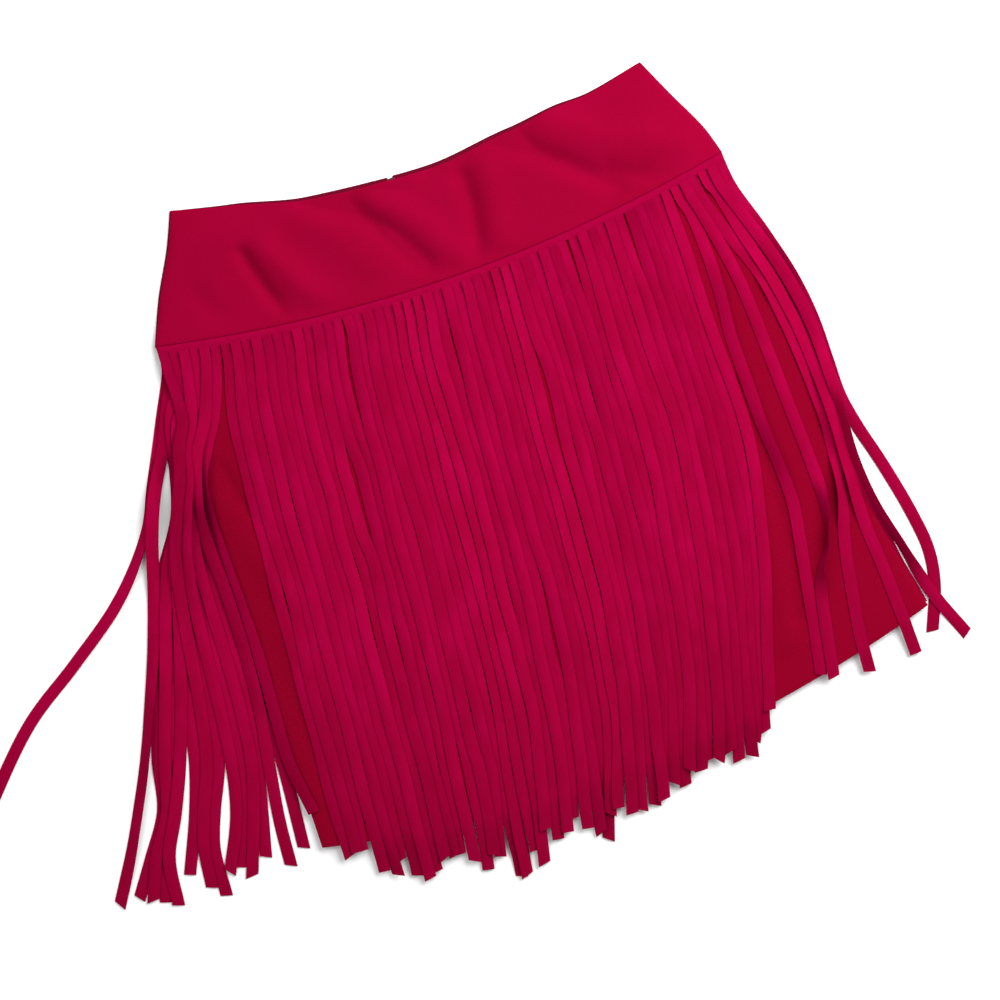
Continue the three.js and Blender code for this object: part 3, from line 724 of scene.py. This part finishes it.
class Course:
    """A smooth way over the surface through given points, measured along its length"""

    STEP = 2.0

    def __init__(self, points):
        dense = []
        for i in range(len(points) - 1):
            steps = max(round(math.dist(points[i], points[i + 1]) / self.STEP), 1)
            for k in range(steps):
                dense.append(self.spline(points, i, k / steps))
        dense.append(points[-1])
        self.points = dense
        self.marks = [0.0]
        for a, b in zip(dense, dense[1:]):
            self.marks.append(self.marks[-1] + math.dist(a, b))
        self.length = self.marks[-1]

    @staticmethod
    def spline(points, i, t):
        p1, p2 = points[i], points[i + 1]
        p0 = points[i - 1] if i > 0 else tuple(2 * a - b for a, b in zip(p1, p2))
        p3 = points[i + 2] if i + 2 < len(points) else tuple(2 * b - a for a, b in zip(p1, p2))
        k1 = math.dist(p0, p1) ** 0.5 or 1e-6
        k2 = math.dist(p1, p2) ** 0.5 or 1e-6
        k3 = math.dist(p2, p3) ** 0.5 or 1e-6
        found = []
        for a, b, c, d in zip(p0, p1, p2, p3):
            m1 = (b - a) / k1 - (c - a) / (k1 + k2) + (c - b) / k2
            m2 = (c - b) / k2 - (d - b) / (k2 + k3) + (d - c) / k3
            m1, m2 = m1 * k2, m2 * k2
            bend = -3 * b + 3 * c - 2 * m1 - m2
            turn = 2 * b - 2 * c + m1 + m2
            found.append(b + m1 * t + bend * t * t + turn * t ** 3)
        return tuple(found)

    def at(self, distance):
        """The point at a distance from the root, and the direction across the strand there"""
        low, high = 0, len(self.marks) - 1
        while high - low > 1:
            half = (low + high) // 2
            if self.marks[half] <= distance:
                low = half
            else:
                high = half
        a, b = self.points[low], self.points[low + 1]
        span = self.marks[low + 1] - self.marks[low]
        t = (distance - self.marks[low]) / span
        run = ((b[0] - a[0]) / span, (b[1] - a[1]) / span)
        return (mix(a[0], b[0], t), mix(a[1], b[1], t)), (-run[1], run[0])


def parted(points, strand_sway):
    """Moves a strand's points aside where it borders a parting, and lets it sway a little on its way"""
    signs = []
    for parting in PARTINGS:
        line = parting["line"]
        middle = line[len(line) // 2] if len(line) > 2 else tuple(mix(a, b, 0.5) for a, b in zip(*line))
        nearest = min(points, key=lambda point: abs(point[1] - middle[1]))
        signs.append(1 if nearest[0] > middle[0] else -1)
    moved = []
    for index, (x, y) in enumerate(points):
        push = 0.0
        for parting, sign in zip(PARTINGS, signs):
            line = parting["line"]
            above = line[0][1] + PARTING_EASE - y
            below = y - line[-1][1] + PARTING_EASE
            if min(above, below) <= 0:
                continue
            at_x = between([(-py, px) for px, py in line], -y)
            near = math.exp(-((x - at_x) / PARTING_REACH) ** 2)
            along = ease(above / PARTING_EASE) * ease(below / PARTING_EASE)
            push += sign * near * along * parting["wide"] / 2
        moved.append((x + push + strand_sway(index * WAVE_POINTS), y))
    return moved


def settled(wanted, step):
    """A limp strip over bumps: never below what it lies on, and never steeper than it would hang"""
    level = list(wanted)
    drop = STEEPEST * step
    for i in range(1, len(level)):
        level[i] = max(level[i], level[i - 1] - drop)
    for i in reversed(range(len(level) - 1)):
        level[i] = max(level[i], level[i + 1] - drop)
    for _ in range(3):
        around = [level[0], *level, level[-1]]
        level = [max(w, (a + 2 * b + c) / 4) for w, a, b, c in zip(wanted, around, around[1:], around[2:])]
    return level


class Strand:
    """One strand of the fringe: its course, how it rolls and cups, and how it lies on what is below"""

    def __init__(self, root, root_half, course, root_rise):
        self.root_half = root_half
        self.root_rise = root_rise
        way, tip = course["way"], course["tip"]
        towards = (way[0][0] - root[0], way[0][1] - root[1])
        lean = ROOT_LEAN * towards[0] / max(abs(towards[1]), LEAD)
        points = [root, (root[0] + lean * LEAD, root[1] - LEAD), *way, tip]
        if course.get("swaying"):
            points = self.swayed(points)
        self.course = Course(points)
        self.turned = course.get("turned", [(0.0, 0.0)])
        self.slant = chance.uniform(-END_SLANT, END_SLANT)
        # Each strand's own random tone; the same point attribute carries painted shade on the bare lower
        # front.
        self.tone_and_shade = chance.uniform(0.4, 1.0)
        self.rows = round(self.course.length / (HIDDEN_STATION if course.get("hidden") else STATION))
        self.cupping = chance.uniform(0.3, 1.0) * CUPPING

    @staticmethod
    def swayed(points):
        """The same way with a long and a short wave in it, and the partings"""
        plain = Course(points)
        count = int(plain.length / WAVE_POINTS) + 1
        even = [plain.at(min(k * WAVE_POINTS, plain.length))[0] for k in range(count)]
        if math.dist(even[-1], points[-1]) > WAVE_POINTS / 4:
            even.append(points[-1])
        waves = []
        for shortest, longest, height in WAVES:
            waves.append((chance.uniform(shortest, longest), chance.uniform(0, WAVE_TURN), height))

        def sway(distance):
            shares = (height * math.sin(WAVE_TURN * distance / wave + start) for wave, start, height in waves)
            return ease((distance - SWAY_FROM) / SWAY_OVER) * sum(shares)

        return parted(even, sway)

    def half_at(self, distance):
        return mix(self.root_half, STRAND_WIDTH / 2, ease(distance / FULL_WIDTH_AT))

    def lie_on(self, bed):
        step = self.course.length / self.rows
        self.stations = []
        lefts, rights = [], []
        for row in range(self.rows + 1):
            distance = min(row * step, self.course.length - 0.01)
            here, right = self.course.at(distance)
            roll = math.radians(between(self.turned, distance / self.course.length))
            half = self.half_at(distance)
            reach = max(half * abs(math.cos(roll)), LEAST_REACH) + REACH_BEYOND
            heights = []
            for a in (-1, -0.5, 0, 0.5, 1):
                x, y = here[0] + a * reach * right[0], here[1] + a * reach * right[1]
                around = (-step / 2, 0, step / 2)
                heights.append((a, max(bed.top(x + d * right[1], y - d * right[0]) for d in around)))
            left = max(heights[0][1], heights[1][1])
            tilt = min(max((max(heights[3][1], heights[4][1]) - left) / 2, -MOST_TILT), MOST_TILT)
            base = max(height - tilt * a for a, height in heights) + AIR
            base += self.root_rise * (1 - ease(distance / ROOT_FALL))
            lefts.append(base - tilt)
            rights.append(base + tilt)
            self.stations.append([here, right, roll, half])
        for station, low, high in zip(self.stations, settled(lefts, step), settled(rights, step)):
            station += [low, high]
        self.cover(bed, step)

    def cover(self, bed, step):
        """Adds the strand's own top to the bed"""
        pieces = max(round(step / BED_SAMPLE), 1)
        for row in range(self.rows):
            for k in range(pieces + 1):
                (x, y), (rx, ry), roll, half, left, right = self.station_at(row, k / pieces)
                flat = half * abs(math.cos(roll))
                crest = 2 * half * abs(math.sin(roll)) + STRAND_THICK
                across = max(round(2 * flat / BED_SAMPLE), 2)
                for m in range(-across, across + 1):
                    a = m / across
                    lie = mix(left, right, (a + 1) / 2) + self.cupping * (1 - a * a)
                    bed.cover(x + a * flat * rx, y + a * flat * ry, lie + crest)

    def station_at(self, row, t):
        """Place, way across, roll, half width and the heights of both edges, between two stations"""
        one, two = self.stations[row], self.stations[row + 1]
        places = [tuple(mix(a, b, t) for a, b in zip(one[i], two[i])) for i in (0, 1)]
        return *places, *(mix(a, b, t) for a, b in zip(one[2:], two[2:]))

    def shaped(self, blank):
        """A copy of the blank, carried along the strand's stations"""
        piece = blank.copy()
        piece.data = blank.data.copy()
        bpy.context.collection.objects.link(piece)
        places = []
        for vertex in piece.data.vertices:
            across = vertex.co.x / (STRAND_WIDTH * MM / 2)
            share = -vertex.co.y / (BLANK_LENGTH * MM)
            rise = STRAND_THICK + vertex.co.z / MM
            row = min(int(share * self.rows), self.rows - 1)
            (x, y), (rx, ry), roll, half, left, right = self.station_at(row, share * self.rows - row)
            slant = self.slant * across * ease((share - SLANT_FROM) / SLANT_OVER)
            cup = self.cupping * (1 - across * across) * ease(share * BLANK_LENGTH / FULL_WIDTH_AT)
            off = across * half * math.cos(roll) - math.sin(roll) * rise
            lift = across * half * math.sin(roll) + half * abs(math.sin(roll)) + math.cos(roll) * (rise + cup)
            z = mix(left, right, (across * math.cos(roll) + 1) / 2) + lift
            places.extend(point_at(x + off * rx + slant * ry, y + off * ry - slant * rx, z))
        piece.data.vertices.foreach_set("co", places)
        offset = chance.uniform(0, 40)
        layer = piece.data.uv_layers[0]
        for loop in piece.data.loops:
            source = blank.data.vertices[loop.vertex_index].co
            layer.data[loop.index].uv = (source.x + offset, source.y)
        mark_points(piece, "tone_and_shade", self.tone_and_shade)
        return piece


def strand_blank(rows):
    """One strand lying straight: a narrow grid with its cloth's thickness, its edges and underside marked for
    their darker colour and painted shade
    """
    deselect()
    bpy.ops.mesh.primitive_grid_add(x_subdivisions=4, y_subdivisions=rows, size=1)
    blank = bpy.context.object
    bpy.ops.object.mode_set(mode="EDIT")
    bpy.ops.mesh.select_all(action="SELECT")
    bpy.ops.transform.resize(value=(STRAND_WIDTH * MM, BLANK_LENGTH * MM, 1))
    bpy.ops.transform.translate(value=(0, -BLANK_LENGTH * MM / 2, 0))
    bpy.ops.object.mode_set(mode="OBJECT")
    apply_modifier(blank, "SOLIDIFY", thickness=STRAND_THICK * MM, offset=-1)
    smooth_shaded(blank)
    # Edges and underside marked for their darker colour, part of which is painted shade.
    mark_faces(blank, "cut", lambda face: 0.0 if face.normal.z > FLAT_ABOVE else 1.0)
    return blank


def seam_strip(name, first, last, under_of, tucked=False):
    """The uncut top of a fringe, caught in the hip seam"""

    def shape(across, down):
        x, y, side, _ = panel_point(SEAM, mix(first, last, across))
        drop = mix(-SEAM_TUCK, STRIP_DEPTH + STRIP_OVERLAP, down)
        tuck = SEAM_GROOVE * (1 - ease(drop / SEAM_EASE)) if tucked else 0.0
        return x, y - drop, under_of(x, y - drop, side, max(drop, 0)) + STRAND_THICK - tuck

    return cloth_panel(name, round((last - first) * STRIP_COLUMNS), 8, shape, STRAND_THICK)


def fringe(name, strands, strip):
    blanks = {rows: strand_blank(rows) for rows in sorted({strand.rows for strand in strands})}
    parts = [strand.shaped(blanks[strand.rows]) for strand in strands]
    for blank in blanks.values():
        bpy.data.objects.remove(blank, do_unlink=True)
    return joined(name, [strip, *parts])


def roots(first, last, count):
    pitch = (panel_point(SEAM, last)[0] - panel_point(SEAM, first)[0]) / count
    places = [panel_point(SEAM, mix(first, last, (k + 0.5) / count))[:2] for k in range(count)]
    return [(x, y - STRIP_DEPTH) for x, y in places], (pitch - SLIT) / 2


def lock_ways(lock):
    """The ways of a lock's strands, with the share of the way from the first to the last"""
    for k in range(lock["count"]):
        t = k / (lock["count"] - 1)
        yield t, [tuple(mix(a, b, t) for a, b in zip(p, q)) for p, q in zip(lock["first"], lock["last"])]


def front_lock(lock):
    """Courses that sway a little and end near the tip line"""
    courses = []
    for t, way in lock_ways(lock):
        x = mix(lock["first_tip"], lock["last_tip"], t) + chance.uniform(-TIP_ASIDE, TIP_ASIDE)
        y = between(TIP_LINE, x) + chance.choice(TIP_STEPS) + chance.uniform(-TIP_STRAY, TIP_STRAY)
        courses.append({"way": way, "tip": (x, y), "swaying": True})
    return courses


def back_lock(lock):
    courses = []
    for t, way in lock_ways(lock):
        x, y = (mix(a, b, t) for a, b in zip(lock["first_tip"], lock["last_tip"]))
        tip = (x, y + chance.uniform(-BACK_TIP_STRAY, BACK_TIP_STRAY))
        courses.append({"way": way, "tip": tip, "hidden": True})
    return courses


def plan(courses, first, last, root_rise=0.0):
    places, half = roots(first, last, len(courses))
    return [Strand(root, half, course, root_rise) for root, course in zip(places, courses)]


bed = Bed()

back_left_courses = LEFT_BACK + back_lock(BACK_LEFT)
back_right_courses = [*back_lock(BACK_RIGHT), RIGHT_BACK_SHOWING]
back_left_strands = plan(back_left_courses, 0, ZIP_AT - ZIP_SLIT)
back_right_strands = plan(back_right_courses, ZIP_AT + ZIP_SLIT, 1)
for parity in (0, 1):
    for k, strand in enumerate(back_left_strands + back_right_strands):
        if k % 2 == parity:
            strand.lie_on(bed)

bed.cover_with_panel(lambda *place: front_skirt_under(*place) + CLOTH, SEAM, HEM)
front_courses = [
    *LEFT_FRONT, SKIRT_EDGE_STRAND, *front_lock(MIDDLE_LEFT), *front_lock(MIDDLE_RIGHT), *RIGHT_FRONT,
]
front_strands = plan(front_courses, 0, 1, SEAM_GROOVE)
order = [course["over"] if "over" in course else chance.uniform(0, 1) for course in front_courses]
for k in sorted(range(len(order)), key=order.__getitem__):
    front_strands[k].lie_on(bed)


def flat_under(*_):
    return 0.0


def on_front_skirt(*place):
    return front_skirt_under(*place) + CLOTH + AIR + SEAM_GROOVE


left_strip = seam_strip("strip", 0, ZIP_AT - ZIP_SLIT, flat_under)
back_fringe_left = fringe("back_fringe_left_cloth", back_left_strands, left_strip)
right_strip = seam_strip("strip", ZIP_AT + ZIP_SLIT, 1, flat_under)
back_fringe_right = fringe("back_fringe_right_cloth", back_right_strands, right_strip)
front_strip = seam_strip("strip", 0, 1, on_front_skirt, tucked=True)
front_fringe = fringe("front_fringe_cloth", front_strands, front_strip)
for piece in (back_fringe_left, back_fringe_right, front_fringe):
    dress(piece, FRINGE, "fringe_cloth", piece.name.removesuffix("_cloth"))

# The panels


def front_yoke_shape(across, down):
    x, y, side, _ = panel_point(down * SEAM, across)
    z = front_yoke_under(x, y, side, down * SEAM) + CLOTH
    waist_turn = WAIST_TURN["depth"] * ease(1 - down / WAIST_TURN["share"])
    return x, y + SEAM_SHIFT["by"] * ease((down - SEAM_SHIFT["from"]) / SEAM_SHIFT["over"]), z - waist_turn


def front_skirt_shape(across, down):
    x, y, side, drop = panel_point(SEAM + down, across)
    return x, y, front_skirt_under(x, y, side, drop) + CLOTH


def back_half(left, yoke):
    """The shape of one half of the back, which ends at the zip and opens in a notch at the waist"""

    def shape(across, down):
        level = down * SEAM if yoke else SEAM + down
        at = mix(0, ZIP_AT, across) if left else mix(ZIP_AT, 1, across)
        x, y, _, drop = panel_point(level, at, -WAIST_SHOWING * ease(1 - level))
        opening = mix(ZIP_HALF_GAP, NOTCH_HALF_WIDTH, ease(1 - level / NOTCH_LEVEL))
        near_zip = across if left else 1 - across
        shift = opening * ease(1 - (1 - near_zip) / EDGE_SHARE)
        if left and yoke:
            shift += SIDE_SHOWING * ease(1 - across / EDGE_SHARE)
        under = 0.0 if yoke else back_skirt_under(drop)
        return x - shift if left else x + shift, y, under + CLOTH

    return shape


front_yoke = cloth_panel("front_yoke_cloth", 150, 48, front_yoke_shape)
# The lower front's low tone value is painted shade: the same cloth as the yoke, drawn darker because it lies
# in shade beside the fringe.
front_skirt = cloth_panel("front_skirt_cloth", 120, 100, front_skirt_shape, tone_and_shade=0.1)
# The back yoke's inner face gets painted shade, where it shows above the front at the waist.
back_yoke_left = cloth_panel("back_yoke_left_cloth", 60, 36, back_half(left=True, yoke=True), inside=0.7)
back_yoke_right = cloth_panel("back_yoke_right_cloth", 72, 36, back_half(left=False, yoke=True), inside=0.7)
back_skirt_left = cloth_panel("back_skirt_left_cloth", 50, 70, back_half(left=True, yoke=False))
back_skirt_right = cloth_panel("back_skirt_right_cloth", 60, 70, back_half(left=False, yoke=False))
for piece in (front_yoke, front_skirt, back_yoke_left, back_yoke_right, back_skirt_left, back_skirt_right):
    dress(piece, CREPE, "skirt_cloth", piece.name.removesuffix("_cloth"))

# The zip


def on_tape(level, off):
    """A point of the tape's top: it runs between the yokes, then over the back skirt's seam"""
    x, y, _, drop = panel_point(level, ZIP_AT, -WAIST_SHOWING * ease(1 - level))
    over_seam = back_skirt_under(max(drop, 0)) + LAYER
    under = mix(LAYER, over_seam, ease((level - TAPE_RISE_FROM) / TAPE_RISE_OVER))
    return x + off, y, under + TAPE_THICK + room(COIL, abs(off))


def zip_tape_shape(across, down):
    return on_tape(mix(TAPE_TOP, TAPE_BOTTOM, down), (across - 0.5) * TAPE_WIDTH)


def block(size, middle, rounding, narrowed=1.0, steps=3):
    """A rounded block, made narrower at its lower end"""
    deselect()
    bpy.ops.mesh.primitive_cube_add(size=1)
    made = bpy.context.object
    bpy.ops.object.mode_set(mode="EDIT")
    bpy.ops.mesh.select_all(action="SELECT")
    bpy.ops.transform.resize(value=tuple(side * MM for side in size))
    bpy.ops.object.mode_set(mode="OBJECT")
    for vertex in made.data.vertices:
        if vertex.co.y < 0:
            vertex.co.x *= narrowed
        vertex.co = [co + shift for co, shift in zip(vertex.co, point_at(*middle))]
    apply_modifier(made, "BEVEL", width=rounding * MM, segments=steps, limit_method="ANGLE")
    smooth_shaded(made)
    return made


def zip_teeth():
    """Small bars in turn from one side and the other, which hook into each other down the middle"""
    blank = block((1.9, 0.75, 0.8), (0, 0, 0), 0.2, steps=1)
    parts = []
    for k in range(TEETH):
        tooth = blank.copy()
        tooth.data = blank.data.copy()
        bpy.context.collection.objects.link(tooth)
        x, y, z = on_tape(mix(FIRST_TOOTH, LAST_TOOTH, k / (TEETH - 1)), 0.0)
        x += TOOTH_ASIDE if k % 2 else -TOOTH_ASIDE
        for vertex in tooth.data.vertices:
            vertex.co = [co + shift * MM for co, shift in zip(vertex.co, (x, y, z - TOOTH_SUNK))]
        parts.append(tooth)
    bpy.data.objects.remove(blank, do_unlink=True)
    return joined("zip_teeth", parts)


zip_tape = cloth_panel("zip_tape_cloth", 40, 90, zip_tape_shape)
dress(zip_tape, zip_webbing(), "zip_tape", "zip_tape")

METAL = painted_metal()
slider_x, waist_y = panel_point(0, ZIP_AT, -WAIST_SHOWING)[:2]
slider_y = waist_y - SLIDER_DOWN
slider = joined("zip_slider_metal", [
    block((6.3, 8.8, 1.9), (slider_x, slider_y - 4.5, 2.3), 0.5, narrowed=0.72),
    block((1.5, 6.0, 0.8), (slider_x, slider_y - 4.2, 3.2), 0.35),
    block((3.2, 16.5, 0.8), (slider_x, slider_y - 11.2, 3.3), 0.35, narrowed=0.8),
])
dress(slider, METAL, "zip_metal", "zip_slider")
teeth = zip_teeth()
teeth.data.materials.clear()
teeth.data.materials.append(METAL)
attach(teeth, "root")

# Floor, light and camera

deselect()
bpy.ops.mesh.primitive_grid_add(x_subdivisions=4, y_subdivisions=4, size=8)
floor = bpy.context.object
floor.name = "floor"
floor.data.materials.append(pale_floor())

PHOTO_TURN = math.radians(-19.5)
CAMERA_HEIGHT = 1.705
AIM = ((ORIGIN_X - 4.8) * MM, (ORIGIN_Y - 13.6) * MM)


def photo_side(right, up):
    """A place on the floor given to the right of and above the photograph's middle, in metres"""
    turn_cos, turn_sin = math.cos(PHOTO_TURN), math.sin(PHOTO_TURN)
    return AIM[0] + right * turn_cos - up * turn_sin, AIM[1] + right * turn_sin + up * turn_cos


def soft_light(name, right, up, height, size, watts):
    x, y = photo_side(right, up)
    light = bpy.data.lights.new(name, "AREA")
    light.shape = "DISK"
    light.size = size
    light.energy = watts
    lamp = bpy.data.objects.new(name, light)
    bpy.context.collection.objects.link(lamp)
    lamp.location = (x, y, height)
    away = (AIM[0] - x, AIM[1] - y, -height)
    tilt = math.acos(height / math.hypot(*away))
    lamp.rotation_euler = (tilt, 0, math.atan2(away[1], away[0]) - math.pi / 2)


soft_light("key", right=0.8, up=0.8, height=1.1, size=1.4, watts=38)
soft_light("fill", right=-1.5, up=0.2, height=2.2, size=2.0, watts=24)

scene = bpy.context.scene
scene.world = scene.world or bpy.data.worlds.new("studio")
scene.world.use_nodes = True
background = scene.world.node_tree.nodes["Background"]
background.inputs["Color"].default_value = (1, 1, 1, 1)
background.inputs["Strength"].default_value = 0.34
scene.view_settings.view_transform = "Standard"

camera_data = bpy.data.cameras.new("camera")
camera_data.lens = 85
camera_data.sensor_width = 36
camera = bpy.data.objects.new("camera", camera_data)
bpy.context.collection.objects.link(camera)
camera.location = (*AIM, CAMERA_HEIGHT)
camera.rotation_euler = (0, 0, PHOTO_TURN)
scene.camera = camera
